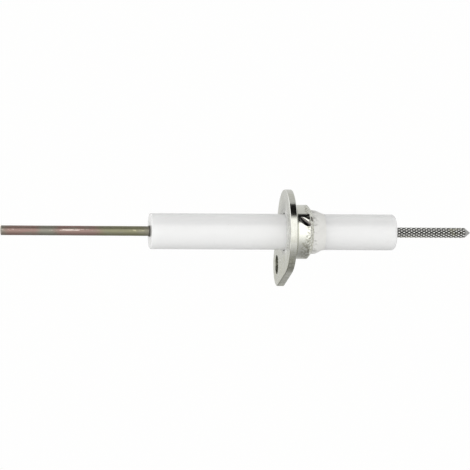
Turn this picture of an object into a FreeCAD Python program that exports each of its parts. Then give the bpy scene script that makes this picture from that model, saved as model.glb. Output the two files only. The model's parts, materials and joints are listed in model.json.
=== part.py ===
import FreeCAD, Part
import math
import os

# Ignition electrode for a burner: a bare wire in an alumina tube, held by a one-screw flange.
# Millimetres. X runs along the electrode, from the burner (-X) to the terminal (+X).
# The origin is on the tube's axis, at the flange's burner-side face. The screw lobe hangs to -Z.

# --- wire electrode and terminal pin ---
ROD_RADIUS = 1.5
ROD_TIP_X = -87.0
ROD_TIP_CHAMFER = 0.25
JOINT_X = 14.0                     # where the wire and the pin meet, end to end
PIN_RADIUS = 1.6                   # over the crests of the knurl
PIN_SHANK_RADIUS = 1.35            # turned down where it sits inside the tube
PIN_SHOULDER_X = 56.4              # where the knurl ends and the point begins
PIN_POINT_LENGTH = 1.84
PIN_POINT_FLAT_RADIUS = 0.06

# --- joint sleeve inside the tube ---
COUPLING_RADIUS = 2.2
COUPLING_LENGTH = 10.0
COUPLING_GROOVE_DEPTH = 0.3
COUPLING_GROOVE_WIDTH = 1.0
COUPLING_GROOVE_OFFSETS = (-3.0, 3.0)

# --- insulator ---
TUBE_RADIUS = 5.5
TUBE_BURNER_X = -41.4
TUBE_TERMINAL_X = 34.6
TUBE_BURNER_FILLET = 0.3
TUBE_TERMINAL_CHAMFER = 0.75
SHOULDER_RADIUS = 7.1
SHOULDER_FRONT_X = 4.2             # the front cone runs from the flange face to here
SHOULDER_BACK_X = 5.6
REAR_CONE_END_X = 7.9
TUBE_BORE_RADIUS = 1.75            # around the wire
TUBE_POCKET_RADIUS = 2.4           # around the joint sleeve and the pin
TUBE_POCKET_X = 8.0

# --- flange plate ---
PLATE_THICKNESS = 2.2
PLATE_RADIUS = 13.0
LOBE_RADIUS = 6.65
LOBE_OFFSET = 16.5                 # from the tube's axis to the screw hole
SCREW_HOLE_RADIUS = 2.9
PLATE_EDGE_ROUND = 0.22
SPIGOT_RADIUS = 7.0                # the collar's spigot fills the plate's centre hole

# --- crimped collar ---
SPIGOT_RECESS = 0.25               # the spigot stops short of the plate's burner-side face
COLLAR_RADIUS = 8.3
COLLAR_BEND_X = 6.85               # where the rim starts to roll in
COLLAR_BEND_RADIUS = 0.45
COLLAR_BEND_END = 39.0              # degrees from +X, where the bend runs into the straight lip
LIP_X = 8.3
LIP_RADIUS = 6.78
LIP_THICKNESS = 0.95
SEAT_GAP = 0.35                    # radial gap between the seat and the insulator's front cone
SEAT_START_X = 1.0
SEAT_END_X = 3.9
DENT_COUNT = 24                    # the crimping tool's marks round the rear edge
DENT_X = 6.4
DENT_BALL_RADIUS = 1.6
DENT_DEPTH = 0.22

# --- seals and cement ---
GASKET_START_X = 1.6
GASKET_END_X = 3.6
BEAD_SHOULDER_X = 9.8
BEAD_END_X = 12.3
BEAD_END_STEP = 0.12
BURNER_CEMENT_DEPTH = 3.5          # inside the tube
BURNER_CEMENT_COLLAR = 0.5         # the rim of cement that stands out round the wire
BURNER_CEMENT_RIM_RADIUS = 1.62
TERMINAL_CEMENT_RECESS = 0.4
TERMINAL_CEMENT_X = 20.5

AXIS = FreeCAD.Vector(1, 0, 0)
ORIGIN = FreeCAD.Vector(0, 0, 0)
FRONT_CONE_SLOPE = (SHOULDER_RADIUS - TUBE_RADIUS) / SHOULDER_FRONT_X


def profile_face(points):
    """A face in the XZ plane from (x, radius) points; a 3-tuple is the middle of an arc."""
    corners = [FreeCAD.Vector(p[0], 0, p[1]) for p in points]
    edges = []
    i = 0
    while i < len(points):
        here, after = i, (i + 1) % len(points)
        if len(points[after]) == 3:
            end = (i + 2) % len(points)
            edges.append(Part.Arc(corners[here], corners[after], corners[end]).toShape())
            i += 2
        else:
            edges.append(Part.LineSegment(corners[here], corners[after]).toShape())
            i += 1
    return Part.Face(Part.Wire(edges))


def turned(points):
    """A solid turned round the X axis from a closed (x, radius) outline."""
    return profile_face(points).revolve(ORIGIN, AXIS, 360)


def arc_middle(centre_x, centre_r, radius, degrees):
    """The middle point of a rounded corner, at this angle from +X towards the outside."""
    angle = math.radians(degrees)
    return (centre_x + radius * math.cos(angle), centre_r + radius * math.sin(angle), "arc")


def front_cone_radius(x):
    """The insulator's radius on its front cone."""
    return TUBE_RADIUS + FRONT_CONE_SLOPE * x


def rear_cone_radius(x):
    """The insulator's radius on its rear cone."""
    slope = (SHOULDER_RADIUS - TUBE_RADIUS) / (REAR_CONE_END_X - SHOULDER_BACK_X)
    return SHOULDER_RADIUS - slope * (x - SHOULDER_BACK_X)


def bend_point(degrees):
    """A point on the collar's rounded rear edge, at this angle from +X towards the outside."""
    return arc_middle(COLLAR_BEND_X, COLLAR_RADIUS - COLLAR_BEND_RADIUS, COLLAR_BEND_RADIUS, degrees)


def lip_geometry():
    """Where the rolled lip's inside meets the collar's bore, and the lip's inner end corner."""
    bend_end = bend_point(COLLAR_BEND_END)
    run = LIP_X - bend_end[0]
    drop = bend_end[1] - LIP_RADIUS
    length = math.hypot(run, drop)
    inward_x = -drop / length * LIP_THICKNESS
    inward_r = -run / length * LIP_THICKNESS
    end = (LIP_X + inward_x, LIP_RADIUS + inward_r)
    bore = seat_radius(SEAT_END_X)
    start = (end[0] - run / drop * (bore - end[1]), bore)
    return start, end


def seat_radius(x):
    """The collar's inner radius on its conical seat."""
    return front_cone_radius(x) + SEAT_GAP


def make_electrode_rod():
    chamfer = ROD_TIP_CHAMFER
    return turned([
        (ROD_TIP_X, 0),
        (ROD_TIP_X, ROD_RADIUS - chamfer),
        (ROD_TIP_X + chamfer, ROD_RADIUS),
        (JOINT_X, ROD_RADIUS),
        (JOINT_X, 0),
    ])


def make_terminal_pin():
    return turned([
        (JOINT_X, 0),
        (JOINT_X, PIN_SHANK_RADIUS),
        (TUBE_TERMINAL_X, PIN_SHANK_RADIUS),
        (TUBE_TERMINAL_X, PIN_RADIUS),
        (PIN_SHOULDER_X, PIN_RADIUS),
        (PIN_SHOULDER_X + PIN_POINT_LENGTH, PIN_POINT_FLAT_RADIUS),
        (PIN_SHOULDER_X + PIN_POINT_LENGTH, 0),
    ])


def make_rod_coupling():
    start = JOINT_X - COUPLING_LENGTH / 2
    end = JOINT_X + COUPLING_LENGTH / 2
    sleeve = turned([
        (start, ROD_RADIUS),
        (start, COUPLING_RADIUS),
        (end, COUPLING_RADIUS),
        (end, PIN_SHANK_RADIUS),
        (JOINT_X, PIN_SHANK_RADIUS),
        (JOINT_X, ROD_RADIUS),
    ])
    half = COUPLING_GROOVE_WIDTH / 2
    for offset in COUPLING_GROOVE_OFFSETS:
        middle = JOINT_X + offset
        groove = turned([
            (middle - half, COUPLING_RADIUS + 1),
            (middle - half, COUPLING_RADIUS),
            (middle, COUPLING_RADIUS - COUPLING_GROOVE_DEPTH),
            (middle + half, COUPLING_RADIUS),
            (middle + half, COUPLING_RADIUS + 1),
        ])
        sleeve = sleeve.cut(groove)
    return sleeve


def make_insulator():
    fillet = TUBE_BURNER_FILLET
    chamfer = TUBE_TERMINAL_CHAMFER
    return turned([
        (TUBE_BURNER_X, TUBE_BORE_RADIUS),
        (TUBE_BURNER_X, TUBE_RADIUS - fillet),
        arc_middle(TUBE_BURNER_X + fillet, TUBE_RADIUS - fillet, fillet, 135),
        (TUBE_BURNER_X + fillet, TUBE_RADIUS),
        (0, TUBE_RADIUS),
        (SHOULDER_FRONT_X, SHOULDER_RADIUS),
        (SHOULDER_BACK_X, SHOULDER_RADIUS),
        (REAR_CONE_END_X, TUBE_RADIUS),
        (TUBE_TERMINAL_X - chamfer, TUBE_RADIUS),
        (TUBE_TERMINAL_X, TUBE_RADIUS - chamfer),
        (TUBE_TERMINAL_X, TUBE_POCKET_RADIUS),
        (TUBE_POCKET_X, TUBE_POCKET_RADIUS),
        (TUBE_POCKET_X, TUBE_BORE_RADIUS),
    ])


def plate_outline():
    """The teardrop: a disc and a smaller lobe, joined by their outer tangents."""
    lean = math.asin((PLATE_RADIUS - LOBE_RADIUS) / LOBE_OFFSET)

    def on_disc(angle):
        return FreeCAD.Vector(0, PLATE_RADIUS * math.cos(angle), PLATE_RADIUS * math.sin(angle))

    def on_lobe(angle):
        y = LOBE_RADIUS * math.cos(angle)
        z = LOBE_RADIUS * math.sin(angle) - LOBE_OFFSET
        return FreeCAD.Vector(0, y, z)

    right, left = -lean, math.pi + lean
    top, bottom = math.pi / 2, -math.pi / 2
    return Part.Wire([
        Part.Arc(on_disc(right), on_disc(top), on_disc(left)).toShape(),
        Part.LineSegment(on_disc(left), on_lobe(left)).toShape(),
        Part.Arc(on_lobe(left), on_lobe(bottom), on_lobe(right)).toShape(),
        Part.LineSegment(on_lobe(right), on_disc(right)).toShape(),
    ])


def make_flange_plate():
    plate = Part.Face(plate_outline()).extrude(AXIS * PLATE_THICKNESS)
    rim = [e for e in plate.Edges if e.BoundBox.XLength < 1e-6]
    plate = plate.makeFillet(PLATE_EDGE_ROUND, rim)
    centre_hole = Part.makeCylinder(SPIGOT_RADIUS, PLATE_THICKNESS, ORIGIN, AXIS)
    lobe_centre = FreeCAD.Vector(0, 0, -LOBE_OFFSET)
    screw_hole = Part.makeCylinder(SCREW_HOLE_RADIUS, PLATE_THICKNESS, lobe_centre, AXIS)
    return plate.cut(centre_hole).cut(screw_hole)


def collar_body():
    """The collar turned in one go, with its rim already rolled in."""
    lip_start, lip_end = lip_geometry()
    return turned([
        (SPIGOT_RECESS, seat_radius(SEAT_START_X)),
        (SPIGOT_RECESS, SPIGOT_RADIUS),
        (PLATE_THICKNESS, SPIGOT_RADIUS),
        (PLATE_THICKNESS, COLLAR_RADIUS),
        (COLLAR_BEND_X, COLLAR_RADIUS),
        bend_point((COLLAR_BEND_END + 90) / 2),
        bend_point(COLLAR_BEND_END)[:2],
        (LIP_X, LIP_RADIUS),
        lip_end,
        lip_start,
        (SEAT_END_X, seat_radius(SEAT_END_X)),
        (SEAT_START_X, seat_radius(SEAT_START_X)),
    ])


def make_crimp_collar():
    """The collar with the crimping tool's marks round its rear edge."""
    collar = collar_body()
    centre = FreeCAD.Vector(DENT_X, 0, COLLAR_RADIUS + DENT_BALL_RADIUS - DENT_DEPTH)
    balls = []
    for i in range(DENT_COUNT):
        ball = Part.makeSphere(DENT_BALL_RADIUS, centre)
        ball.rotate(ORIGIN, AXIS, 360.0 * (i + 0.5) / DENT_COUNT)
        balls.append(ball)
    return collar.cut(Part.makeCompound(balls))


def make_seat_gasket():
    return turned([
        (GASKET_START_X, front_cone_radius(GASKET_START_X)),
        (GASKET_START_X, seat_radius(GASKET_START_X)),
        (GASKET_END_X, seat_radius(GASKET_END_X)),
        (GASKET_END_X, front_cone_radius(GASKET_END_X)),
    ])


def make_crimp_packing():
    lip_start, lip_end = lip_geometry()
    return turned([
        (SHOULDER_BACK_X, SHOULDER_RADIUS),
        (SHOULDER_BACK_X, lip_start[1]),
        lip_start,
        lip_end,
        (lip_end[0], rear_cone_radius(lip_end[0])),
    ])


def make_collar_seal_bead():
    lip_end = lip_geometry()[1]
    return turned([
        (lip_end[0], rear_cone_radius(lip_end[0])),
        lip_end,
        (LIP_X, LIP_RADIUS),
        (BEAD_SHOULDER_X, LIP_RADIUS - 0.08),
        (BEAD_END_X, TUBE_RADIUS + BEAD_END_STEP),
        (BEAD_END_X, TUBE_RADIUS),
        (REAR_CONE_END_X, TUBE_RADIUS),
    ])


def make_burner_end_cement():
    """Cement that fills the bore's mouth and stands out a little round the wire."""
    rim_x = TUBE_BURNER_X - BURNER_CEMENT_COLLAR
    end = TUBE_BURNER_X + BURNER_CEMENT_DEPTH
    return turned([
        (rim_x, ROD_RADIUS),
        (rim_x, BURNER_CEMENT_RIM_RADIUS),
        (TUBE_BURNER_X, TUBE_BORE_RADIUS),
        (end, TUBE_BORE_RADIUS),
        (end, ROD_RADIUS),
    ])


def make_terminal_end_cement():
    """Cement that fills the pocket round the pin's shank."""
    end = TUBE_TERMINAL_X - TERMINAL_CEMENT_RECESS
    return turned([
        (TERMINAL_CEMENT_X, PIN_SHANK_RADIUS),
        (TERMINAL_CEMENT_X, TUBE_POCKET_RADIUS),
        (end, TUBE_POCKET_RADIUS),
        (end, PIN_SHANK_RADIUS),
    ])


PARTS = {
    "electrode_rod": make_electrode_rod,
    "terminal_pin": make_terminal_pin,
    "rod_coupling": make_rod_coupling,
    "insulator": make_insulator,
    "flange_plate": make_flange_plate,
    "crimp_collar": make_crimp_collar,
    "seat_gasket": make_seat_gasket,
    "crimp_packing": make_crimp_packing,
    "collar_seal_bead": make_collar_seal_bead,
    "burner_end_cement": make_burner_end_cement,
    "terminal_end_cement": make_terminal_end_cement,
}

os.makedirs("parts", exist_ok=True)
for name, make in PARTS.items():
    shape = make()
    shape.exportStep("parts/" + name + ".step")
    print(name, shape.isValid(), len(shape.Solids), round(shape.Volume, 2))
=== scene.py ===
import json
import math
import random

import bmesh
import bpy
from mathutils import Matrix, Vector, noise


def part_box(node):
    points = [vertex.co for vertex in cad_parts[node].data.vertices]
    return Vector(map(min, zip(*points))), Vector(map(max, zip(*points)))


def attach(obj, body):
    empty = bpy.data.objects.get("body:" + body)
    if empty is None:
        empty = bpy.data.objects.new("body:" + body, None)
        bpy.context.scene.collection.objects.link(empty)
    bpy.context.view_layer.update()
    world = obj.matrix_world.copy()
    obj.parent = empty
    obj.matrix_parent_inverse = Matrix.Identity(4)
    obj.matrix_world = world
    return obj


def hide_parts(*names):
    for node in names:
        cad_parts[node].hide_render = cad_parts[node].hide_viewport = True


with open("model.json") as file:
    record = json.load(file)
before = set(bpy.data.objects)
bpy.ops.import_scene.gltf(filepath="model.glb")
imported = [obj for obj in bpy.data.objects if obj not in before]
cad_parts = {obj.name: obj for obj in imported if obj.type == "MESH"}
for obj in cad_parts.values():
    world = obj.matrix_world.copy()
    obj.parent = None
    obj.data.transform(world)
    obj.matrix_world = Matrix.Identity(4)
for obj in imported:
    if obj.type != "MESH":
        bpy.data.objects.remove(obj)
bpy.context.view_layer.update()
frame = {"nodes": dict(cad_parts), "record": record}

# Looks of the ignition electrode, in metres in the row frame: X runs from the burner to the terminal.
MM = 0.001
MOUNTS = {m["name"]: m for m in frame["record"]["mounts"]}


def span(node):
    """A turned node's first x, last x and largest radius."""
    low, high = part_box(node)
    return low.x, high.x, high.y


ROD_START, ROD_END, ROD_RADIUS = span("electrode_rod")
TUBE_START, TUBE_END, SHOULDER_RADIUS = span("insulator")
PIN_START, PIN_TIP, PIN_RADIUS = span("terminal_pin")
_, LIP_X, COLLAR_RADIUS = span("crimp_collar")
BEAD_START, BEAD_END, _ = span("collar_seal_bead")
BURNER_PLUG_START, BURNER_PLUG_END, BORE_RADIUS = span("burner_end_cement")
POT_START, POT_END, POCKET_RADIUS = span("terminal_end_cement")
PLATE_LOW, PLATE_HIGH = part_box("flange_plate")

TUBE_RADIUS = MOUNTS["insulator_barrel"]["dims"]["r_mm"] * MM
KNURL_LENGTH = MOUNTS["terminal_pin"]["dims"]["length_mm"] * MM
SCREW_RADIUS = MOUNTS["fixing_hole"]["dims"]["r_mm"] * MM
LOBE_OFFSET = -MOUNTS["fixing_hole"]["pos_m"][2]

# The sides of the part that face up and forwards in the main view
UPPER_SIDE = Vector((0, 0.79, 0.61))
FRONT_SIDE = Vector((0, -0.61, 0.79))

# Round pieces
SEGMENTS = 160
FILLET_SHARE = 0.49
TINY = 1e-9

# Wire. The painted highlight's place and the band of small painted glints (rise, full, fall, end) are in
# millimetres
ROD_END_ROUND = 0.28 * MM
ROD_WEAR = 0.012 * MM
GLINT_X = -66.0
GLINT_ANGLE = math.radians(119)
GLINTS_BY_TUBE = (-50.0, -46.0, -43.5, -42.5)

# Insulator
SHOULDER_FRONT_X = 4.2 * MM
SHOULDER_BACK_X = 5.6 * MM
REAR_CONE_END_X = 7.9 * MM
POCKET_START_X = 8.0 * MM
BURNER_ROUND = 0.35 * MM
BORE_ROUND = 0.03 * MM
SHOULDER_ROUND = 0.2 * MM
CONE_FOOT_ROUNDS = (0.6 * MM, 0.4 * MM)
TERMINAL_CHAMFER = 0.75 * MM
TERMINAL_ROUNDS = (0.5 * MM, 0.35 * MM)
POCKET_ROUND = 0.12 * MM

# Flange plate
PLATE_THICKNESS = PLATE_HIGH.x
PLATE_RADIUS = min(PLATE_HIGH.y, PLATE_HIGH.z)
LOBE_RADIUS = -PLATE_LOW.z - LOBE_OFFSET
SPIGOT_RADIUS = 7.0 * MM
EDGE_ROLL = 0.32 * MM
BURR_ROUND = 0.2 * MM
SPIGOT_HOLE_ROUND = 0.02 * MM
SCREW_HOLE_ROUND = 0.18 * MM

# Crimped collar
SEAT_START_X = 1.0 * MM
SEAT_END_X = 3.9 * MM
SEAT_START_RADIUS = 6.231 * MM
SEAT_END_RADIUS = 7.336 * MM
REAR_EDGE_X = 7.06 * MM
LIP_RADIUS = 6.78 * MM
LIP_INNER = (7.563 * MM, 6.181 * MM)
LIP_ROOT_X = 6.624 * MM
MOUTH_ROUND = 0.08 * MM
REAR_EDGE_ROUND = 0.45 * MM
LIP_ROUND = 0.15 * MM
EDGE_BREAK = 0.1 * MM
DENT_SEED = 4
DENT_COUNT = 24
DENT_X = 6.4 * MM
DENT_DEPTH = 0.2 * MM
DENT_LAYER = "dent"
SLIP_LAYER = "slip"
SMALL_MARKS = 70
SLIP_CLEAN_SIDE = -0.62
SKIN_DEPTH = 0.3 * MM
ROUGH_START_X = 4.8 * MM
ROUGH_LENGTH = 1.2 * MM
ROUGH_DEPTH = 0.03 * MM
LIP_PRESS_START_X = 6.6 * MM
LIP_PRESS_LENGTH = 0.6 * MM
LIP_PRESS_BACK = 0.7
LIP_PRESS_EASED = 0.3
STAKED_X = 0.04 * MM
FRONT_CHAMFER_END_X = 3.4 * MM
FRONT_CHAMFER_DEPTH = 0.45 * MM
MOUTH_RADIUS = 5.78 * MM

# Cement. Lumps, grit and sink are the bead's unevenness in millimetres, and each face is (sink, unevenness)
BEAD_SHOULDER_X = 9.8 * MM
BEAD_SHOULDER_DROP = 0.1 * MM
BEAD_SHOULDER_ROUND = 0.8 * MM
BEAD_LIP_DROP = 0.03 * MM
BEAD_EDGE = 0.05 * MM
BEAD_OVERLAP = 0.02 * MM
BEAD_WANDER = 0.7 * MM
BEAD_SHORTFALL = 0.35
BEAD_LUMPS, BEAD_GRIT, BEAD_SINK = 0.10, 0.025, 0.06
CEMENT_RIM_RADIUS = 1.62 * MM
CEMENT_RIM_LENGTH = 0.4 * MM
PLUG_CLEARANCE = 0.01 * MM
BURNER_FACE = (0.10, 0.12)
TERMINAL_FACE = (0.12, 0.14)

# Terminal pin and its knurl
PIN_SHANK_RADIUS = 1.35 * MM
SHANK_TAPER = 0.05 * MM
SHANK_END_X = TUBE_END + 0.3 * MM
KNURL_START_X = TUBE_END - 0.2 * MM
KNURL_STARTS = 10
KNURL_PITCH = 1.56 * MM
KNURL_DEPTH = 0.27 * MM
KNURL_FLANK = 0.38
KNURL_SPARE_START = 0.4 * MM
KNURL_SPARE_END = 0.5 * MM
CREST_CLEARANCE = 0.002 * MM
POINT_ROUND = 0.15 * MM
TIP_RADIUS = 0.06 * MM
TIP_ROUND = 0.04 * MM
TURN_UNITS = 1000000
LENGTH_UNITS = 1e9

# The main view: how far the burner end leans towards the camera, and the camera's height
LEAN = math.radians(8.75)
ELEVATION = math.radians(52.15)
ROLL = math.radians(0.33)
CAMERA_DISTANCE = 1238.0 * MM
AIM_X = -15.1 * MM
AIM_BELOW = 1.05 * MM
LENS = 310.0
SENSOR_WIDTH = 36.0
CLIP_START = 0.01
CLIP_END = 50.0

# The stage: floor and sweep, seen by the camera only
FLOOR_Z = -1.4
FLOOR_SIZE = 8.0
SWEEP_RADIUS = 6.0
STAGE_WHITE = (1.0, 1.0, 0.997, 1.0)
STAGE_LEVEL = 0.993

# The light tent: its brightness at each angle round the electrode, from the camera's side upwards
TENT_LEVELS = [
    (-180, 0.73), (-160, 0.62), (-140, 0.45), (-110, 0.33), (-80, 0.44), (-64, 0.50), (-52, 0.62),
    (-40, 0.82), (-26, 1.08), (-8, 1.42), (20, 1.45), (37, 1.45), (42, 0.40), (48, 0.01), (80, 0.01),
    (86, 0.64), (110, 0.69), (130, 0.73), (180, 0.73)]
TENT_WARMTH = 0.985
TENT_BURNER_END = 1.14
TENT_TERMINAL_END = 0.82
TENT_END_BLEND = (0.40, 0.70)
TENT_END_CHANGE = 0.3


# ---------------------------------------------------------------- mesh helpers

def rounded(corners, steps=5):
    """Corners (x, r, fillet) of a closed or open outline -> its points, with each fillet as an arc."""
    points = []
    count = len(corners)
    for i, (x, r, fillet) in enumerate(corners):
        here = Vector((x, r))
        before = Vector(corners[i - 1][:2]) - here
        after = Vector(corners[(i + 1) % count][:2]) - here
        if fillet <= 0:
            points.append(here)
            continue
        half = before.angle(after) / 2
        reach = min(fillet / math.tan(half), FILLET_SHARE * before.length, FILLET_SHARE * after.length)
        radius = reach * math.tan(half)
        middle = here + (before.normalized() + after.normalized()).normalized() * radius / math.sin(half)
        first = here + before.normalized() * reach - middle
        last = here + after.normalized() * reach - middle
        turn = first.angle_signed(last)
        for step in range(steps + 1):
            arm = Matrix.Rotation(-turn * step / steps, 2) @ first
            points.append(middle + arm)
    return points


def refined(points, longest, closed=True):
    """The same outline with no segment longer than this."""
    result = []
    count = len(points)
    for i, here in enumerate(points):
        result.append(here)
        if i == count - 1 and not closed:
            break
        after = points[(i + 1) % count]
        parts = max(1, math.ceil((after - here).length / longest))
        result += [here.lerp(after, k / parts) for k in range(1, parts)]
    return result


def share(value, start, length):
    """How far value is past start, as a share of this length, held between 0 and 1."""
    return min(1.0, max(0.0, (value - start) / length))


def mesh_data(name, mesh):
    """The built mesh with its faces turned outwards."""
    bmesh.ops.recalc_face_normals(mesh, faces=mesh.faces)
    data = bpy.data.meshes.new(name)
    mesh.to_mesh(data)
    mesh.free()
    return data


def finish_mesh(name, mesh, sharp_degrees=38):
    """A smooth-shaded object whose flat faces stay flat beside their rounded edges."""
    mesh.validate()
    obj = bpy.data.objects.new(name, mesh)
    bpy.context.scene.collection.objects.link(obj)
    mesh.polygons.foreach_set("use_smooth", [True] * len(mesh.polygons))
    mesh.set_sharp_from_angle(angle=math.radians(sharp_degrees))
    normals = obj.modifiers.new("weighted_normals", "WEIGHTED_NORMAL")
    normals.keep_sharp = True
    return obj


def lathe(name, outline, closed=True, segments=SEGMENTS, shape=None, sharp_degrees=38):
    """A solid turned round X. An open outline starts and ends on the axis.

    shape(x, r, angle) gives the changed (x, r) of one point, for dents and roughness.
    """
    mesh = bmesh.new()
    rings = []
    for x, r in outline:
        if r < TINY:
            rings.append([mesh.verts.new((x, 0, 0))])
            continue
        ring = []
        for k in range(segments):
            angle = 2 * math.pi * k / segments
            px, pr = shape(x, r, angle) if shape else (x, r)
            ring.append(mesh.verts.new((px, pr * math.cos(angle), pr * math.sin(angle))))
        rings.append(ring)
    pairs = list(zip(rings, rings[1:]))
    if closed:
        pairs.append((rings[-1], rings[0]))
    for first, second in pairs:
        for k in range(segments):
            after = (k + 1) % segments
            corners = [first[k % len(first)], first[after % len(first)],
                       second[after % len(second)], second[k % len(second)]]
            mesh.faces.new(list(dict.fromkeys(corners)))
    return finish_mesh(name, mesh_data(name, mesh), sharp_degrees)


def placed(obj, node, material):
    """Every piece rides on the one rigid body and stands for its CAD node."""
    obj.data.materials.clear()
    obj.data.materials.append(material)
    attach(obj, "root")
    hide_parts(node)
    return obj


# ---------------------------------------------------------------- shader helpers

class Nodes:
    """A node tree with short calls for the nodes that the looks below share."""

    def __init__(self, tree):
        self.tree = tree

    def node(self, kind, **settings):
        made = self.tree.nodes.new(kind)
        for key, value in settings.items():
            setattr(made, key, value)
        return made

    def link(self, source, target):
        self.tree.links.new(source, target)

    def put(self, target, value):
        if isinstance(value, bpy.types.NodeSocket):
            self.link(value, target)
        else:
            target.default_value = value

    def math(self, operation, a, b=0.0):
        made = self.node("ShaderNodeMath", operation=operation)
        self.put(made.inputs[0], a)
        self.put(made.inputs[1], b)
        return made.outputs[0]

    def plus(self, a, b):
        return self.math("ADD", a, b)

    def minus(self, a, b):
        return self.math("SUBTRACT", a, b)

    def times(self, a, b):
        return self.math("MULTIPLY", a, b)

    def between(self, value, low, high, start=0.0, end=1.0):
        """A value from start to end, stretched to low..high."""
        made = self.node("ShaderNodeMapRange")
        self.link(value, made.inputs["Value"])
        made.inputs["From Min"].default_value = start
        made.inputs["From Max"].default_value = end
        made.inputs["To Min"].default_value = low
        made.inputs["To Max"].default_value = high
        return made.outputs["Result"]

    def step(self, value, low, high):
        """0 below low, 1 above high, smooth between."""
        made = self.node("ShaderNodeMapRange", interpolation_type="SMOOTHSTEP")
        self.link(value, made.inputs["Value"])
        made.inputs["From Min"].default_value = low
        made.inputs["From Max"].default_value = high
        return made.outputs["Result"]

    def fade(self, value, low, high):
        """1 below low, 0 above high, smooth between."""
        return self.minus(1.0, self.step(value, low, high))

    def band(self, value, rise, full, fall, end):
        """1 between full and fall, 0 outside rise and end, smooth between."""
        return self.times(self.step(value, rise, full), self.fade(value, fall, end))

    def ramp(self, value, stops):
        """stops: (position, colour)."""
        made = self.node("ShaderNodeValToRGB")
        elements = made.color_ramp.elements
        while len(elements) < len(stops):
            elements.new(1.0)
        for element, (position, colour) in zip(elements, stops):
            element.position = position
            element.color = (*colour, 1.0)
        self.link(value, made.inputs["Fac"])
        return made.outputs["Color"]

    def blend(self, amount, first, second):
        made = self.node("ShaderNodeMix", data_type="RGBA")
        self.put(made.inputs["Factor"], amount)
        for socket, value in ((made.inputs[6], first), (made.inputs[7], second)):
            self.put(socket, value if isinstance(value, bpy.types.NodeSocket) else (*value, 1.0))
        return made.outputs[2]

    def along(self, vector, direction):
        """How far a vector reaches along a direction."""
        made = self.node("ShaderNodeVectorMath", operation="DOT_PRODUCT")
        self.link(vector, made.inputs[0])
        made.inputs[1].default_value = direction
        return made.outputs["Value"]


class Shader(Nodes):
    """A principled material, with the object's coordinates in millimetres."""

    def __init__(self, name):
        self.material = bpy.data.materials.new(name)
        self.material.use_nodes = True
        super().__init__(self.material.node_tree)
        self.surface = self.tree.nodes["Principled BSDF"]
        self.coordinates = self.node("ShaderNodeTexCoord")
        self.millimetres = self.scaled((1000, 1000, 1000))

    def scaled(self, scale):
        """The object's coordinates, times this."""
        mapping = self.node("ShaderNodeMapping")
        mapping.inputs["Scale"].default_value = scale
        self.link(self.coordinates.outputs["Object"], mapping.inputs["Vector"])
        return mapping.outputs["Vector"]

    def axes(self, vector=None):
        """The X, Y and Z of a vector, or of the place in millimetres."""
        made = self.node("ShaderNodeSeparateXYZ")
        self.link(self.millimetres if vector is None else vector, made.inputs["Vector"])
        return made.outputs

    def radius(self, centre_z=0.0):
        """Distance from the X axis, or from the line beside it at this z, in millimetres."""
        parts = self.axes()
        rise = self.minus(parts["Z"], centre_z)
        return self.math("SQRT", self.plus(self.times(parts["Y"], parts["Y"]), self.times(rise, rise)))

    def reach(self, direction):
        """Distance from the X axis towards this side, in millimetres."""
        return self.along(self.millimetres, direction)

    def attribute(self, name):
        return self.node("ShaderNodeAttribute", attribute_name=name).outputs["Fac"]

    def noise(self, vector, scale, detail=3.0, rough=0.55):
        """0 to 1 noise with about scale blotches for each unit of the vector."""
        made = self.node("ShaderNodeTexNoise")
        self.link(vector, made.inputs["Vector"])
        made.inputs["Scale"].default_value = scale
        made.inputs["Detail"].default_value = detail
        made.inputs["Roughness"].default_value = rough
        return made.outputs["Fac"]

    def stretched_noise(self, scale, detail=3.0, rough=0.55):
        """Noise drawn out by a different scale along each axis, per metre."""
        return self.noise(self.scaled(scale), 1.0, detail, rough)

    def bump(self, height, strength, distance_mm, normal=None):
        made = self.node("ShaderNodeBump")
        made.inputs["Strength"].default_value = strength
        made.inputs["Distance"].default_value = distance_mm * MM
        self.link(height, made.inputs["Height"])
        if normal is not None:
            self.link(normal, made.inputs["Normal"])
        return made.outputs["Normal"]

    def finish(self, **sockets):
        """Set or link the shader's sockets. A colour is given without its alpha."""
        for name, value in sockets.items():
            socket = self.surface.inputs[name.replace("_", " ")]
            if isinstance(value, tuple) and len(socket.default_value) == 4:
                value = (*value, 1.0)
            self.put(socket, value)
        return self.material


def glazed_alumina():
    """White sintered alumina under a thin glaze: faint mottling, pin specks, soft waves in the gloss."""
    white, cloud, speck = (0.935, 0.935, 0.94), (0.90, 0.90, 0.90), (0.45, 0.41, 0.36)
    s = Shader("glazed_alumina")
    mottle = s.noise(s.millimetres, 0.22, 4.0)
    colour = s.blend(s.between(mottle, 0.2, 0.8), white, cloud)
    specks = s.step(s.noise(s.millimetres, 3.1, 1.0), 0.79, 0.84)
    colour = s.blend(s.times(specks, 0.5), colour, speck)
    waves = s.noise(s.millimetres, 0.55, 2.0)
    peel = s.noise(s.millimetres, 6.0, 2.0)
    normal = s.bump(waves, 0.25, 0.25)
    normal = s.bump(peel, 0.12, 0.03, normal)
    return s.finish(Base_Color=colour, Roughness=s.between(waves, 0.17, 0.30), Normal=normal,
                    Coat_Weight=0.35, Coat_Roughness=0.08, Subsurface_Weight=0.5,
                    Subsurface_Scale=6.0 * MM, Subsurface_Radius=(1.0, 1.0, 1.0))


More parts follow.
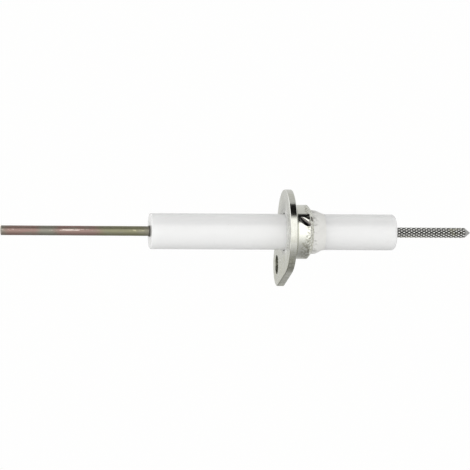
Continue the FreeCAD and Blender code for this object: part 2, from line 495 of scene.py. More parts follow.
def heat_tinted_wire():
    """Drawn heat-resistant wire: grey oxide, pink and olive heat tints, painted highlight glints along one
    side, die lines.
    """
    olive, grey, pink = (0.290, 0.280, 0.185), (0.305, 0.290, 0.243), (0.350, 0.240, 0.212)
    painted_glint_pale, painted_glint_straw, black_scale = (0.80, 0.69, 0.63), (0.56, 0.53, 0.36), (0.085, 0.075, 0.06)
    s = Shader("heat_tinted_wire")
    parts = s.axes()
    x = parts["X"]
    drift = s.stretched_noise((140, 300, 300), 3.0)
    place = s.plus(x, s.times(s.minus(drift, 0.5), 5.0))
    tint = s.ramp(s.between(place, 0.0, 1.0, ROD_START / MM, TUBE_START / MM), [
        (0.0, grey), (0.06, pink), (0.22, pink), (0.27, grey), (0.34, grey), (0.40, pink), (0.60, pink),
        (0.68, olive), (0.93, olive), (1.0, grey)])
    patches = s.stretched_noise((260, 900, 900), 4.0, 0.6)
    colour = s.blend(s.times(s.step(patches, 0.50, 0.66), 0.6), tint, grey)

    # Painted highlight: pale and yellowish glints painted along one side of the wire, strongest round one
    # place and beside the tube.
    angle = s.math("ARCTAN2", parts["Z"], parts["Y"])
    glint_side = s.fade(s.math("ABSOLUTE", s.minus(angle, GLINT_ANGLE)), 0.06, 0.26)
    main_glint_place = s.fade(s.math("ABSOLUTE", s.minus(x, GLINT_X)), 1.5, 5.0)
    glint_streaks = s.stretched_noise((900, 2600, 2600), 3.0, 0.6)
    glint_mask = s.plus(glint_streaks, s.times(main_glint_place, 0.18))
    glint_mask = s.plus(glint_mask, s.times(s.band(x, *GLINTS_BY_TUBE), 0.12))
    glint_colour = s.blend(s.step(x, GLINT_X + 6.0, GLINT_X + 12.0), painted_glint_pale, painted_glint_straw)
    colour = s.blend(s.times(s.step(glint_mask, 0.58, 0.68), glint_side), colour, glint_colour)

    scale = s.stretched_noise((900, 2500, 2500), 4.0, 0.7)
    colour = s.blend(s.times(s.step(scale, 0.58, 0.70), 0.5), colour, black_scale)
    die_lines = s.stretched_noise((40, 9000, 9000), 3.0, 0.6)
    normal = s.bump(die_lines, 0.25, 0.03)
    normal = s.bump(scale, 0.25, 0.05, normal)
    return s.finish(Base_Color=colour, Metallic=0.95, Roughness=s.between(patches, 0.43, 0.57),
                    Normal=normal)


def knurled_steel():
    """Dull nickel on rolled steel: crests worn bright with painted highlight, oxide, grime and painted shade
    down in the grooves.
    """
    dirt_and_groove_shade, oxide, flank = (0.05, 0.05, 0.047), (0.17, 0.17, 0.165), (0.50, 0.50, 0.48)
    crest, turned_point, stain = (0.93, 0.93, 0.90), (0.42, 0.42, 0.41), (0.34, 0.33, 0.21)
    s = Shader("knurled_steel")
    height = s.step(s.radius(), (PIN_RADIUS - KNURL_DEPTH) / MM, PIN_RADIUS / MM)
    grain = s.noise(s.millimetres, 9.0, 4.0, 0.65)
    worn = s.plus(height, s.times(s.minus(grain, 0.5), 0.35))
    # Painted shade with oxide and grime low in the grooves, wear with painted highlight on the crests.
    colour = s.ramp(worn, [(0.0, dirt_and_groove_shade), (0.40, oxide), (0.65, flank), (0.92, crest)])
    point_x = (TUBE_END + KNURL_LENGTH) / MM
    on_point = s.step(s.axes()["X"], point_x - 0.1, point_x + 0.1)
    colour = s.blend(on_point, colour, turned_point)
    stains = s.step(s.stretched_noise((160, 400, 400), 2.0), 0.56, 0.68)
    colour = s.blend(s.times(stains, 0.35), colour, stain)
    normal = s.bump(grain, 0.3, 0.03)
    return s.finish(Base_Color=colour, Metallic=0.95, Roughness=s.between(grain, 0.20, 0.40),
                    Normal=normal)


def stamped_nickel():
    """Nickel-plated strip: satin faces, a sheared edge that tears lower down, painted highlight and painted
    shade on the rolled edge and beside the tube, painted shade in the screw hole.
    """
    satin, worn_above, worn_below = (0.69, 0.695, 0.655), (0.63, 0.63, 0.57), (0.67, 0.67, 0.55)
    tarnish, spot, pit = (0.52, 0.52, 0.42), (0.38, 0.37, 0.29), (0.36, 0.35, 0.28)
    dull_and_shade, painted_highlight = (0.42, 0.42, 0.40), (0.93, 0.93, 0.90)
    painted_rim_highlight, painted_rim_shade = (0.96, 0.96, 0.92), (0.20, 0.20, 0.16)
    torn_metal, hole_shade, level = (0.40, 0.40, 0.34), (0.09, 0.09, 0.075), (0.5, 0.5, 0.5)
    s = Shader("stamped_nickel")
    clouds = s.noise(s.millimetres, 0.35, 4.0, 0.6)
    grain = s.noise(s.millimetres, 7.0, 4.0, 0.7)
    upwards, downwards, forwards = s.reach(UPPER_SIDE), s.reach(-UPPER_SIDE), s.reach(FRONT_SIDE)
    facing = s.math("ABSOLUTE", s.axes(s.coordinates.outputs["Normal"])["X"])
    edge = s.fade(facing, 0.3, 0.8)
    low = s.step(downwards, 4.6, 9.0)

    colour = s.blend(s.step(clouds, 0.35, 0.7), satin, s.blend(low, worn_above, worn_below))
    mottle = s.step(s.noise(s.millimetres, 1.3, 4.0, 0.65), 0.42, 0.60)
    colour = s.blend(s.times(mottle, s.between(low, 0.12, 0.75)), colour, tarnish)
    spots = s.step(s.noise(s.millimetres, 1.1, 4.0, 0.6), 0.56, 0.66)
    colour = s.blend(s.times(spots, s.between(low, 0.05, 0.65)), colour, spot)
    # Painted shade: the face beside the tube is darkened on its upper side.
    near_tube = s.fade(s.radius(), TUBE_RADIUS / MM, TUBE_RADIUS / MM + 6.0)
    shade_above_tube = s.times(near_tube, s.step(upwards, 2.5, 5.5))
    colour = s.blend(s.times(shade_above_tube, 0.85), colour, dull_and_shade)
    # Painted highlight: the face beside the tube is lightened on its front side.
    wiped = s.times(near_tube, s.step(forwards, 2.0, 5.0))
    colour = s.blend(s.times(wiped, 0.9), colour, painted_highlight)
    colour = s.blend(s.times(s.step(grain, 0.60, 0.70), 0.35), colour, pit)

    # The rolled edge: painted highlight on its upper side, painted shade on its lower side.
    rim = s.band(facing, 0.12, 0.30, 0.80, 0.95)
    colour = s.blend(s.times(s.times(rim, s.step(upwards, 0.0, 5.0)), 0.7), colour, painted_rim_highlight)
    colour = s.blend(s.times(s.times(rim, s.step(downwards, 3.0, 7.5)), 0.8), colour, painted_rim_shade)
    torn = s.times(edge, low)
    shear = s.stretched_noise((250, 2600, 2600), 3.0, 0.6)
    colour = s.blend(s.times(torn, s.step(shear, 0.46, 0.62)), colour, torn_metal)
    # Painted shade: the screw hole's wall is darkened.
    in_hole = s.fade(s.radius(-LOBE_OFFSET / MM), SCREW_RADIUS / MM - 0.02, SCREW_RADIUS / MM + 0.05)
    colour = s.blend(s.times(in_hole, 0.64), colour, hole_shade)

    normal = s.bump(s.blend(torn, level, shear), 0.45, 0.08)
    normal = s.bump(grain, 0.10, 0.03, normal)
    normal = s.bump(clouds, 0.2, 0.25, normal)
    rough = s.minus(s.between(clouds, 0.20, 0.34), s.times(s.minus(edge, torn), 0.13))
    return s.finish(Base_Color=colour, Metallic=1.0, Roughness=rough, Normal=normal)


def turned_nickel():
    """Bright nickel over turned steel: fine tool rings, grimy marks at the rim, grime with painted shade in
    the tool marks, a painted highlight on the staked ring's front.
    """
    nickel, painted_highlight, dull_and_shade = (0.78, 0.785, 0.725), (0.93, 0.93, 0.90), (0.56, 0.56, 0.53)
    rim_dirt, dent_dirt_and_shade, film_olive = (0.26, 0.25, 0.18), (0.16, 0.15, 0.11), (0.33, 0.32, 0.22)
    slip_shade_black, slip_brown = (0.035, 0.03, 0.03), (0.17, 0.15, 0.145)
    s = Shader("turned_nickel")
    x = s.axes()["X"]
    rings_at = s.node("ShaderNodeCombineXYZ")
    s.link(s.times(x, 9.0), rings_at.inputs["X"])
    s.link(s.times(s.radius(), 9.0), rings_at.inputs["Y"])
    rings = s.noise(rings_at.outputs["Vector"], 1.0, 3.0, 0.6)
    scuffs = s.noise(s.millimetres, 1.4, 4.0, 0.68)

    at_rim = s.step(x, REAR_EDGE_X / MM - 2.0, REAR_EDGE_X / MM - 0.4)
    marks = s.times(s.step(scuffs, 0.50, 0.58), at_rim)
    colour = s.blend(s.times(marks, 0.75), nickel, rim_dirt)
    # Dent edges darkened: dirt with painted shade.
    outline = s.band(s.attribute(DENT_LAYER), 0.006, 0.022, 0.04, 0.08)
    broken = s.step(s.noise(s.millimetres, 1.1, 3.0, 0.6), 0.47, 0.58)
    colour = s.blend(s.times(s.times(outline, broken), 0.3), colour, dent_dirt_and_shade)
    # Tool slips darkened: painted shade with dirt.
    smear = s.stretched_noise((900, 1500, 1500), 3.0, 0.6)
    slip_dirt_and_shade = s.blend(s.step(smear, 0.40, 0.65), slip_shade_black, slip_brown)
    in_slip = s.step(s.attribute(SLIP_LAYER), 0.015, 0.05)
    colour = s.blend(s.times(in_slip, 0.92), colour, slip_dirt_and_shade)
    grime = s.times(s.step(s.reach(-UPPER_SIDE), 1.2, 4.0), s.step(x, 3.6, 5.0))
    film = s.step(s.noise(s.millimetres, 1.25, 4.0, 0.62), 0.42, 0.60)
    colour = s.blend(s.times(s.times(grime, film), 0.5), colour, film_olive)
    # The staked front ring: a duller grey, with a painted highlight on its front side.
    staked = s.fade(x, STAKED_X / MM + 0.1, STAKED_X / MM + 0.4)
    wiped = s.blend(s.step(s.reach(FRONT_SIDE), 1.0, 4.0), dull_and_shade, painted_highlight)
    colour = s.blend(staked, colour, wiped)

    normal = s.bump(rings, 0.10, 0.02)
    normal = s.bump(s.times(scuffs, at_rim), 0.5, 0.12, normal)
    rough = s.plus(s.between(scuffs, 0.05, 0.15), s.times(staked, 0.22))
    return s.finish(Base_Color=colour, Metallic=1.0, Roughness=rough, Normal=normal)


def refractory_cement(name, light, dark, smudged=0.0):
    """Dry cement: gritty, matt, with sand-coloured grains, and metal dust beside the collar's lip."""
    sand, metal_dust = (0.40, 0.36, 0.30), (0.34, 0.34, 0.32)
    s = Shader(name)
    body = s.noise(s.millimetres, 0.9, 5.0, 0.6)
    grit = s.noise(s.millimetres, 8.0, 3.0, 0.7)
    colour = s.blend(s.between(body, 0.1, 0.9), light, dark)
    colour = s.blend(s.times(s.step(grit, 0.64, 0.72), 0.4), colour, sand)
    near_lip = s.fade(s.axes()["X"], LIP_X / MM, LIP_X / MM + 2.2)
    smears = s.step(s.stretched_noise((500, 800, 800), 4.0, 0.65), 0.50, 0.60)
    colour = s.blend(s.times(s.times(near_lip, smears), smudged), colour, metal_dust)
    normal = s.bump(grit, 0.4, 0.08)
    normal = s.bump(body, 0.3, 0.3, normal)
    return s.finish(Base_Color=colour, Roughness=s.between(grit, 0.6, 0.9), Normal=normal)


def pressed_fibre():
    """Grey mineral-fibre packing, hidden under the collar."""
    s = Shader("pressed_fibre")
    fibres = s.stretched_noise((1500, 5000, 5000), 4.0, 0.7)
    colour = s.blend(fibres, (0.20, 0.195, 0.185), (0.46, 0.45, 0.42))
    return s.finish(Base_Color=colour, Roughness=0.92, Normal=s.bump(fibres, 0.6, 0.12))


def turned_steel():
    """Plain turned steel of the hidden joint sleeve."""
    s = Shader("turned_steel")
    rings = s.stretched_noise((9000, 300, 300), 2.0)
    colour = s.blend(rings, (0.50, 0.50, 0.48), (0.62, 0.62, 0.60))
    return s.finish(Base_Color=colour, Metallic=1.0, Roughness=s.between(rings, 0.25, 0.4),
                    Normal=s.bump(rings, 0.2, 0.03))


# ---------------------------------------------------------------- pieces

def make_rod(material):
    """Round wire, its cropped end slightly broken."""
    outline = rounded([
        (ROD_START, 0, 0),
        (ROD_START, ROD_RADIUS, ROD_END_ROUND),
        (ROD_END, ROD_RADIUS, 0),
        (ROD_END, 0, 0),
    ])
    outline = refined(outline, 0.8 * MM, closed=False)

    def worn(x, r, angle):
        place = Vector((x / MM * 0.5, math.cos(angle), math.sin(angle)))
        on_side = r > 0.9 * ROD_RADIUS
        return x, r - ROD_WEAR * (1 + noise.noise(place)) * on_side

    rod = lathe("electrode_wire", outline, closed=False, segments=96, shape=worn)
    return placed(rod, "electrode_rod", material)


def make_tube(material):
    """The one-piece insulator, with the glaze drawn round every edge."""
    outline = rounded([
        (TUBE_START, BORE_RADIUS, BORE_ROUND),
        (TUBE_START, TUBE_RADIUS, BURNER_ROUND),
        (0, TUBE_RADIUS, CONE_FOOT_ROUNDS[0]),
        (SHOULDER_FRONT_X, SHOULDER_RADIUS, SHOULDER_ROUND),
        (SHOULDER_BACK_X, SHOULDER_RADIUS, SHOULDER_ROUND),
        (REAR_CONE_END_X, TUBE_RADIUS, CONE_FOOT_ROUNDS[1]),
        (TUBE_END - TERMINAL_CHAMFER, TUBE_RADIUS, TERMINAL_ROUNDS[0]),
        (TUBE_END, TUBE_RADIUS - TERMINAL_CHAMFER, TERMINAL_ROUNDS[1]),
        (TUBE_END, POCKET_RADIUS, POCKET_ROUND),
        (POCKET_START_X, POCKET_RADIUS, 0),
        (POCKET_START_X, BORE_RADIUS, 0),
    ])
    tube = lathe("insulator_tube", refined(outline, 2.0 * MM))
    return placed(tube, "insulator", material)


def teardrop(inset, x, arc_steps=72):
    """Points round the flange's outline at this x, moved inwards by inset."""
    lean = math.asin((PLATE_RADIUS - LOBE_RADIUS) / LOBE_OFFSET)
    points = []
    stretches = (
        (0.0, PLATE_RADIUS, -lean, math.pi + lean, arc_steps),
        (-LOBE_OFFSET, LOBE_RADIUS, math.pi + lean, 2 * math.pi - lean, arc_steps // 2),
    )
    for centre_z, radius, start, end, steps in stretches:
        for k in range(steps + 1):
            angle = start + (end - start) * k / steps
            reach = radius - inset
            points.append(Vector((x, reach * math.cos(angle), centre_z + reach * math.sin(angle))))
    return points


def circle(radius, centre_z, x, steps):
    return [Vector((x, radius * math.cos(a), centre_z + radius * math.sin(a)))
            for a in (2 * math.pi * k / steps for k in range(steps))]


def joined(mesh, loops):
    """Quads between loops of equally many points."""
    for first, second in zip(loops, loops[1:]):
        count = len(first)
        for k in range(count):
            after = (k + 1) % count
            mesh.faces.new((first[k], first[after], second[after], second[k]))


def loop_edges(mesh, loop):
    pairs = zip(loop, loop[1:] + loop[:1])
    return [mesh.edges.get(pair) or mesh.edges.new(pair) for pair in pairs]


def make_flange(material):
    """Stamped teardrop plate: its edge rolled over towards the burner, sheared square behind."""
    profile = rounded([
        (0, EDGE_ROLL * 2, 0),
        (0, 0, EDGE_ROLL),
        (PLATE_THICKNESS, 0, BURR_ROUND),
        (PLATE_THICKNESS, EDGE_ROLL * 2, 0),
    ], steps=6)
    profile = refined(profile, 0.4 * MM, closed=False)[1:-1]
    mesh = bmesh.new()
    rims = []
    for x, inset in profile:
        rims.append([mesh.verts.new(p) for p in divided_teardrop(inset, x)])
    joined(mesh, rims)
    centre = hole_loops(mesh, SPIGOT_RADIUS, 0.0, 96, SPIGOT_HOLE_ROUND)
    screw = hole_loops(mesh, SCREW_RADIUS, -LOBE_OFFSET, 64, SCREW_HOLE_ROUND)
    for side in (0, -1):
        edges = []
        for loops in (rims, centre, screw):
            edges += loop_edges(mesh, loops[side])
        bmesh.ops.triangle_fill(mesh, use_beauty=True, use_dissolve=False, edges=edges)
    plate = finish_mesh("flange_plate_stamped", mesh_data("flange_plate_stamped", mesh))
    return placed(plate, "flange_plate", material)


def divided_teardrop(inset, x, longest=1.0 * MM):
    """The outline with its straight stretches divided, the same way at every inset."""
    plain = teardrop(0.0, 0.0)
    points = teardrop(inset, x)
    result = []
    for k, here in enumerate(points):
        after = (k + 1) % len(points)
        parts = max(1, math.ceil((plain[after] - plain[k]).length / longest))
        result += [here.lerp(points[after], j / parts) for j in range(parts)]
    return result


def hole_loops(mesh, radius, centre_z, steps, rounding):
    """The wall of a punched hole, with a slightly rounded edge at both faces."""
    loops = []
    places = [(0.0, rounding), (rounding * 0.3, rounding * 0.3), (rounding, 0.0)]
    places += [(PLATE_THICKNESS - x, grow) for x, grow in reversed(places)]
    for x, grow in places:
        loops.append([mesh.verts.new(p) for p in circle(radius + grow, centre_z, x, steps)])
    joined(mesh, loops)
    return loops


def tool_marks(count, spread, x, offsets, lengths, widths, depths, slants):
    """Marks round the collar: (angle, x, half length, half width, depth, slant), each a little different."""
    marks = []
    for k in range(count):
        angle = 2 * math.pi * (k + random.uniform(-spread, spread)) / count
        marks.append((
            angle,
            x + random.uniform(*offsets) * MM,
            random.uniform(*lengths) * MM,
            random.uniform(*widths) * MM,
            DENT_DEPTH * random.uniform(*depths),
            random.uniform(*slants),
        ))
    return marks


def crimp_dents():
    """The crimping tool's dents, then the small marks it left beside them."""
    random.seed(DENT_SEED)
    dents = tool_marks(DENT_COUNT, 0.15, DENT_X, offsets=(-0.25, 0.35), lengths=(0.7, 1.1),
                       widths=(0.35, 0.6), depths=(0.1, 0.45), slants=(-0.9, 0.5))
    small = tool_marks(SMALL_MARKS, 0.3, REAR_EDGE_X, offsets=(-1.0, 0.6), lengths=(0.3, 0.55),
                       widths=(0.2, 0.35), depths=(0.2, 0.5), slants=(-1.5, 1.5))
    return dents + small


def tool_slips():
    """Two deep marks where the tool slipped, listed like the tool's marks."""
    return [
        (math.radians(105.3), 5.50 * MM, 2.2 * MM, 1.05 * MM, 0.25 * MM, 0.70),
        (math.radians(96.0), 7.65 * MM, 0.95 * MM, 0.45 * MM, 0.22 * MM, math.pi / 2),
    ]


def pressed_in(dents, x, r, angle, clean_side=-1.0):
    """How deep the tool's marks go at this place, leaving out what lies past clean_side of their widths."""
    depth = 0.0
    for at, dent_x, length, width, deep, slant in dents:
        along = x - dent_x
        across = ((angle - at + math.pi) % (2 * math.pi) - math.pi) * r
        a = (along * math.cos(slant) + across * math.sin(slant)) / length
        b = (across * math.cos(slant) - along * math.sin(slant)) / width
        if b > clean_side:
            depth = max(depth, deep * (1 - a * a - b * b))
    return depth


def make_collar(material):
    """Turned collar: hub, rear edge rolled in over the shoulder, tool marks round the edge."""
    dents = crimp_dents()
    slips = tool_slips()
    outline = rounded([
        (STAKED_X, MOUTH_RADIUS, MOUTH_ROUND),
        (STAKED_X, SPIGOT_RADIUS, 0),
        (PLATE_THICKNESS, SPIGOT_RADIUS, 0),
        (PLATE_THICKNESS, COLLAR_RADIUS - FRONT_CHAMFER_DEPTH, 0),
        (FRONT_CHAMFER_END_X, COLLAR_RADIUS, EDGE_BREAK),
        (REAR_EDGE_X, COLLAR_RADIUS, REAR_EDGE_ROUND),
        (LIP_X, LIP_RADIUS, LIP_ROUND),
        (*LIP_INNER, EDGE_BREAK),
        (LIP_ROOT_X, SEAT_END_RADIUS, 0),
        (SEAT_END_X, SEAT_END_RADIUS, 0),
        (SEAT_START_X, SEAT_START_RADIUS, 0),
    ])
    outline = refined(outline, 0.12 * MM)
    lip_slope = (COLLAR_RADIUS - LIP_RADIUS) / (LIP_X - REAR_EDGE_X)

    def outside(x, r):
        """On the outer skin, clear of the plate."""
        lip_line = COLLAR_RADIUS - lip_slope * max(0.0, x - REAR_EDGE_X)
        return x > FRONT_CHAMFER_END_X and r > lip_line - SKIN_DEPTH

    def dented(x, r, angle):
        if not outside(x, r):
            return x, r
        depth = pressed_in(dents + slips, x, r, angle)
        place = Vector((x / MM * 1.5, math.cos(angle) * 9, math.sin(angle) * 9))
        depth += ROUGH_DEPTH * share(x, ROUGH_START_X, ROUGH_LENGTH) * abs(noise.noise(place))
        on_lip = share(x, LIP_PRESS_START_X, LIP_PRESS_LENGTH)
        return x - depth * LIP_PRESS_BACK * on_lip, r - depth * (1 - LIP_PRESS_EASED * on_lip)

    collar = lathe("crimped_collar", outline, segments=480, shape=dented, sharp_degrees=50)
    for layer_name, marks, clean_side in ((DENT_LAYER, dents, -1.0), (SLIP_LAYER, slips, SLIP_CLEAN_SIDE)):
        layer = collar.data.attributes.new(layer_name, "FLOAT", "POINT")
        for vertex, mark in zip(collar.data.vertices, layer.data):
            x, y, z = vertex.co
            mark.value = pressed_in(marks, x, math.hypot(y, z), math.atan2(z, y), clean_side) / MM
    return placed(collar, "crimp_collar", material)


def make_bead(material):
    """Cement pressed round the rolled rim and wiped down to the tube by hand."""
    outline = rounded([
        (BEAD_START, TUBE_RADIUS + BEAD_EDGE, 0),
        (BEAD_START + BEAD_OVERLAP, LIP_INNER[1], 0),
        (LIP_X - BEAD_OVERLAP, LIP_RADIUS - BEAD_LIP_DROP, 0),
        (BEAD_SHOULDER_X, LIP_RADIUS - BEAD_SHOULDER_DROP, BEAD_SHOULDER_ROUND),
        (BEAD_END, TUBE_RADIUS + BEAD_EDGE, 0.02 * MM),
        (BEAD_END, TUBE_RADIUS - BEAD_OVERLAP, 0),
        (REAR_CONE_END_X, TUBE_RADIUS - BEAD_OVERLAP, 0),
    ])
    outline = refined(outline, 0.16 * MM)

    def wiped(x, r, angle):
        if r < TUBE_RADIUS + 0.06 * MM or x < LIP_X:
            return x, r
        round_way = Vector((math.cos(angle), math.sin(angle), 0))
        wander = noise.noise(round_way * 1.6 + Vector((0, 0, 3.7)))
        tail = share(x, LIP_X, BEAD_END - LIP_X)
        lumps = noise.noise(Vector((x / MM * 0.7, *(round_way * 5).xy)))
        grit = noise.noise(Vector((x / MM * 4.0, *(round_way * 26).xy)))
        ease = share(x, LIP_X, 0.5 * MM)
        swell = (BEAD_LUMPS * lumps + BEAD_GRIT * grit - BEAD_SINK) * MM
        change = swell * ease * share(r, TUBE_RADIUS, 0.4 * MM)
        return x + (wander - BEAD_SHORTFALL) * BEAD_WANDER * tail ** 2, r + change

    bead = lathe("collar_cement_bead", outline, segments=240, shape=wiped)
    return placed(bead, "collar_seal_bead", material)


def sunk(face, r, angle):
    """How far a plug's open face lies below its plain end at this place."""
    sink, unevenness = face
    place = Vector((r / MM * 2.2, math.cos(angle) * 2.5, math.sin(angle) * 2.5))
    return (sink + unevenness * noise.noise(place)) * MM


def make_burner_plug(material):
    """Near-black cement in the bore's mouth, its darkness painted shade, drawn up the wire in a small uneven
    rim.
    """
    outline = refined([
        Vector((BURNER_PLUG_START, ROD_RADIUS)),
        Vector((BURNER_PLUG_START, CEMENT_RIM_RADIUS)),
        Vector((TUBE_START, BORE_RADIUS - PLUG_CLEARANCE)),
        Vector((BURNER_PLUG_END, BORE_RADIUS - PLUG_CLEARANCE)),
        Vector((BURNER_PLUG_END, ROD_RADIUS)),
    ], 0.1 * MM)

    def uneven(x, r, angle):
        return x + share(TUBE_START - x, 0.0, CEMENT_RIM_LENGTH) * sunk(BURNER_FACE, r, angle), r

    plug = lathe("burner_end_plug", outline, segments=96, shape=uneven)
    return placed(plug, "burner_end_cement", material)


def make_terminal_plug(material):
    """Cement in the terminal pocket, its open face left uneven."""
    outline = refined([
        Vector((POT_START, PIN_SHANK_RADIUS)),
        Vector((POT_START, POCKET_RADIUS)),
        Vector((POT_END, POCKET_RADIUS)),
        Vector((POT_END, PIN_SHANK_RADIUS)),
    ], 0.2 * MM)

    def uneven(x, r, angle):
        on_face = x > POT_END - 0.01 * MM
        return x - on_face * sunk(TERMINAL_FACE, r, angle), r

    plug = lathe("terminal_end_plug", outline, segments=96, shape=uneven)
    return placed(plug, "terminal_end_cement", material)


def knurl_radius(across, along):
    """Radius at (across, along) of one diamond: V grooves on its sides, a flat crest inside."""
    near = min(min(across, 1 - across), min(along, 1 - along))
    depth = max(0.0, 1 - near / KNURL_FLANK)
    return PIN_RADIUS - KNURL_DEPTH * depth


def knurled_bar(start, end):
    """A closed bar of raised diamonds between two crossing sets of helical grooves."""
    parts = (0.0, KNURL_FLANK / 2, KNURL_FLANK, 0.5, 1 - KNURL_FLANK, 1 - KNURL_FLANK / 2)
    mesh = bmesh.new()
    rows = math.ceil((end - start) / KNURL_PITCH) + 2
    corners = {}

    def corner(u, v):
        """u and v count grooves of the two hands; the pair repeats once round the bar."""
        angle_turns = (u + v) / (2 * KNURL_STARTS)
        x = start + (u - v) / 2 * KNURL_PITCH
        key = (round((angle_turns % 1.0) * TURN_UNITS) % TURN_UNITS, round(x * LENGTH_UNITS))
        if key not in corners:
            r = knurl_radius(u % 1.0, v % 1.0)
            angle = 2 * math.pi * angle_turns
            corners[key] = mesh.verts.new((x, r * math.cos(angle), r * math.sin(angle)))
        return corners[key]

    marks = [groove + part for groove in range(-rows, rows + KNURL_STARTS + 1) for part in parts]
    cells = list(zip(marks, marks[1:]))
    for u, next_u in cells:
        for v, next_v in cells:
            x_low = (u - next_v) / 2 * KNURL_PITCH
            x_high = (next_u - v) / 2 * KNURL_PITCH
            turn = (u + v) / (2 * KNURL_STARTS)
            if x_high < -KNURL_PITCH or x_low > end - start + KNURL_PITCH or not 0 <= turn < 1:
                continue
            face = [corner(u, v), corner(next_u, v), corner(next_u, next_v), corner(u, next_v)]
            if len(set(face)) == 4 and not mesh.faces.get(face):
                mesh.faces.new(face)
    for x, side in ((start, -1), (end, 1)):
        geometry = mesh.verts[:] + mesh.edges[:] + mesh.faces[:]
        cut = bmesh.ops.bisect_plane(mesh, geom=geometry, plane_co=(x, 0, 0), plane_no=(side, 0, 0),
                                     clear_outer=True, dist=TINY)
        rim = [e for e in cut["geom_cut"] if isinstance(e, bmesh.types.BMEdge)]
        bmesh.ops.contextual_create(mesh, geom=rim)
    return mesh_data("knurled_bar", mesh)


def combined(obj, other, operation):
    """obj with the boolean of other applied. other is removed."""
    step = obj.modifiers.new("step", "BOOLEAN")
    step.operation = operation
    step.solver = "EXACT"
    step.object = other
    evaluated = obj.evaluated_get(bpy.context.evaluated_depsgraph_get())
    result = bpy.data.meshes.new_from_object(evaluated)
    obj.modifiers.remove(step)
    obj.data = result
    bpy.data.objects.remove(other)
    return obj


def make_pin(material):
    """Knurled terminal pin: diamonds rolled into the bar, then the point turned on its end."""
    knurled = knurled_bar(TUBE_END - KNURL_SPARE_START, PIN_TIP + KNURL_SPARE_END)
    bar = bpy.data.objects.new("terminal_pin_knurled", knurled)
    bpy.context.scene.collection.objects.link(bar)
    envelope = lathe("pin_envelope", rounded([
        (KNURL_START_X, 0, 0),
        (KNURL_START_X, PIN_RADIUS, 0),
        (TUBE_END + KNURL_LENGTH, PIN_RADIUS + CREST_CLEARANCE, POINT_ROUND),
        (PIN_TIP, TIP_RADIUS, TIP_ROUND),
        (PIN_TIP, 0, 0),
    ]), closed=False, segments=128)
    envelope.modifiers.clear()
    combined(bar, envelope, "INTERSECT")
    shank = lathe("pin_shank", [Vector(point) for point in (
        (PIN_START, 0),
        (PIN_START, PIN_SHANK_RADIUS),
        (SHANK_END_X, PIN_SHANK_RADIUS - SHANK_TAPER),
        (SHANK_END_X, 0),
    )], closed=False, segments=64)
    shank.modifiers.clear()
    combined(bar, shank, "UNION")
    data = bar.data
    data.polygons.foreach_set("use_smooth", [True] * len(data.polygons))
    data.set_sharp_from_angle(angle=math.radians(20))
    return placed(bar, "terminal_pin", material)


def paint_hidden(node, material):
    """A sealed inner node keeps its CAD shape and gets its own finish."""
    mesh = frame["nodes"][node].data
    mesh.materials.clear()
    mesh.materials.append(material)


# ---------------------------------------------------------------- studio

def view_axes():
    """Right, up and back of the main view's camera, in the row frame."""
    level = math.cos(LEAN)
    back = Vector((-math.sin(LEAN), -level * math.cos(ELEVATION), level * math.sin(ELEVATION)))
    along = (Vector((1, 0, 0)) + math.sin(LEAN) * back).normalized()
    across = back.cross(along)
    right = math.cos(ROLL) * along + math.sin(ROLL) * across
    return right, back.cross(right), back


def make_camera():
    right, up, back = view_axes()
    camera = bpy.data.objects.new("camera", bpy.data.cameras.new("camera"))
    bpy.context.scene.collection.objects.link(camera)
    place = Vector((AIM_X, 0, 0)) - AIM_BELOW * up + CAMERA_DISTANCE * back
    camera.matrix_world = Matrix.Translation(place) @ Matrix((right, up, back)).transposed().to_4x4()
    camera.data.lens = LENS
    camera.data.sensor_width = SENSOR_WIDTH
    camera.data.clip_start = CLIP_START
    camera.data.clip_end = CLIP_END
    bpy.context.scene.camera = camera


def stage_material(name):
    """An even white that needs no light of its own."""
    material = bpy.data.materials.new(name)
    material.use_nodes = True
    material.node_tree.nodes.clear()
    s = Nodes(material.node_tree)
    glow = s.node("ShaderNodeEmission")
    glow.inputs["Color"].default_value = STAGE_WHITE
    glow.inputs["Strength"].default_value = STAGE_LEVEL
    output = s.node("ShaderNodeOutputMaterial")
    s.link(glow.outputs["Emission"], output.inputs["Surface"])
    return material


def seen_by_camera_only(obj):
    obj.visible_diffuse = False
    obj.visible_glossy = False
    obj.visible_transmission = False
    obj.visible_shadow = False


def make_stage():
    """A white floor well below the part, and a white sweep all round it."""
    bpy.ops.mesh.primitive_plane_add(size=FLOOR_SIZE, location=(0, 0, FLOOR_Z))
    floor = bpy.context.object
    floor.name = "studio_floor"
    bpy.ops.mesh.primitive_uv_sphere_add(segments=48, ring_count=24, radius=SWEEP_RADIUS)
    sweep = bpy.context.object
    sweep.name = "studio_sweep"
    for obj in (floor, sweep):
        obj.data.materials.append(stage_material(obj.name + "_white"))
        seen_by_camera_only(obj)


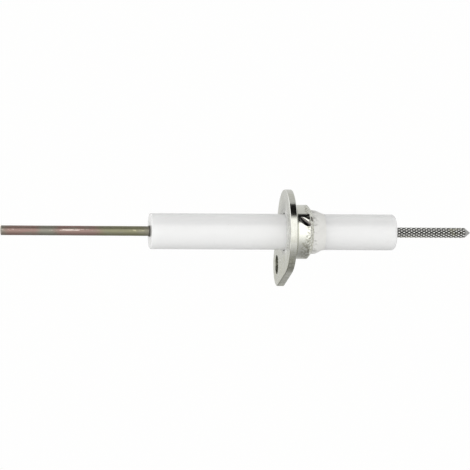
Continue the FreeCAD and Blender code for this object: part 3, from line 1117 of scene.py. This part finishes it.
def make_light():
    """Soft light tent: a broad white front, a narrow dark gap above it, grey sides and back."""
    world = bpy.data.worlds.new("light_tent")
    bpy.context.scene.world = world
    world.use_nodes = True
    world.node_tree.nodes.clear()
    _, up, back = view_axes()
    axis = Vector((1, 0, 0))
    front = (back - back.dot(axis) * axis).normalized()
    above = axis.cross(front) * (1 if axis.cross(front).dot(up) > 0 else -1)

    s = Nodes(world.node_tree)
    place = s.node("ShaderNodeTexCoord").outputs["Generated"]
    turn = s.math("ARCTAN2", s.along(place, above), s.along(place, front))
    stops = []
    for degrees, level in TENT_LEVELS:
        stops.append(((degrees + 180) / 360, (level, level, level * TENT_WARMTH)))
    round_way = s.ramp(s.between(turn, 0.0, 1.0, -math.pi, math.pi), stops)
    lengthways = s.along(place, axis)
    at_ends = s.step(s.math("ABSOLUTE", lengthways), *TENT_END_BLEND)
    ends = s.between(lengthways, TENT_BURNER_END, TENT_TERMINAL_END, -TENT_END_CHANGE, TENT_END_CHANGE)
    glow = s.node("ShaderNodeBackground")
    s.link(s.blend(at_ends, round_way, ends), glow.inputs["Color"])
    output = s.node("ShaderNodeOutputWorld")
    s.link(glow.outputs["Background"], output.inputs["Surface"])


make_camera()
make_light()
make_stage()
bpy.context.scene.view_settings.view_transform = "Standard"

cement = refractory_cement("refractory_cement", (0.87, 0.865, 0.84), (0.80, 0.795, 0.77))
bead_cement = refractory_cement("smudged_cement", (0.87, 0.865, 0.84), (0.80, 0.795, 0.77), smudged=0.6)
# Painted shade: the cement in the burner end's mouth is near-black.
mouth_shade_cement = refractory_cement("mouth_shade_cement", (0.11, 0.10, 0.085), (0.06, 0.055, 0.045))
fibre = pressed_fibre()
make_rod(heat_tinted_wire())
make_tube(glazed_alumina())
make_flange(stamped_nickel())
make_collar(turned_nickel())
make_bead(bead_cement)
make_burner_plug(mouth_shade_cement)
make_terminal_plug(cement)
make_pin(knurled_steel())
paint_hidden("rod_coupling", turned_steel())
paint_hidden("seat_gasket", fibre)
paint_hidden("crimp_packing", fibre)
